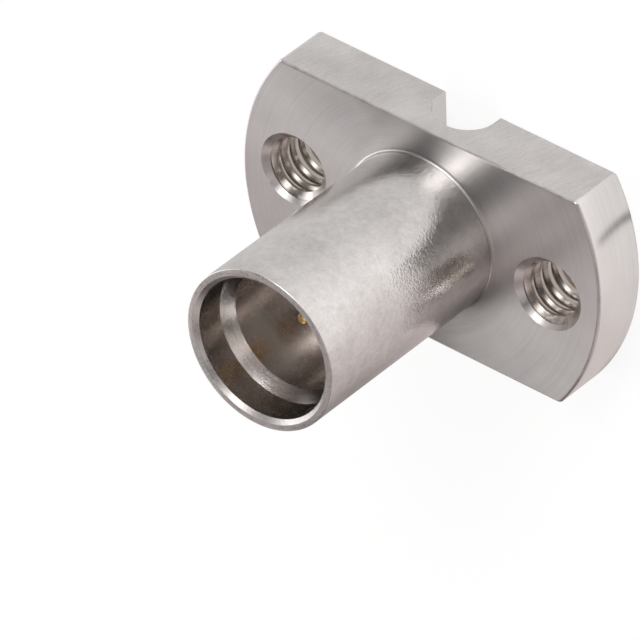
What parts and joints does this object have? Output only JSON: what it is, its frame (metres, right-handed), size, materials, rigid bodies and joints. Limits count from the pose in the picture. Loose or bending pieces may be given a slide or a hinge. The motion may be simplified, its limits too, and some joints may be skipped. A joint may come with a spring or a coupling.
{
  "type": "smp coaxial flange connector",
  "caption": "Miniature push-on coaxial connector: a long wide-mouthed steel shroud with a gold centre pin, on an oblong flange with tapped holes for mounting over a circuit-board trace.",
  "frame": {"origin": "centre of the flange's back face, which lies on the circuit board", "axes": "+Z along the mating axis out of the mouth, X through the two tapped holes, +Y towards the flat that the board-side channel opens in"},
  "size_m": [0.012, 0.0068, 0.0091],
  "materials": {
    "stainless_steel": "turned and milled, passivated, satin",
    "gold_plating": "gold plated, smooth",
    "ptfe": "white, waxy, turned"
  },
  "bodies": {
    "root": {"connector_body": "stainless_steel", "centre_contact": "gold_plating", "front_insulator": "ptfe", "rear_insulator": "ptfe"}
  },
  "joints": []
}
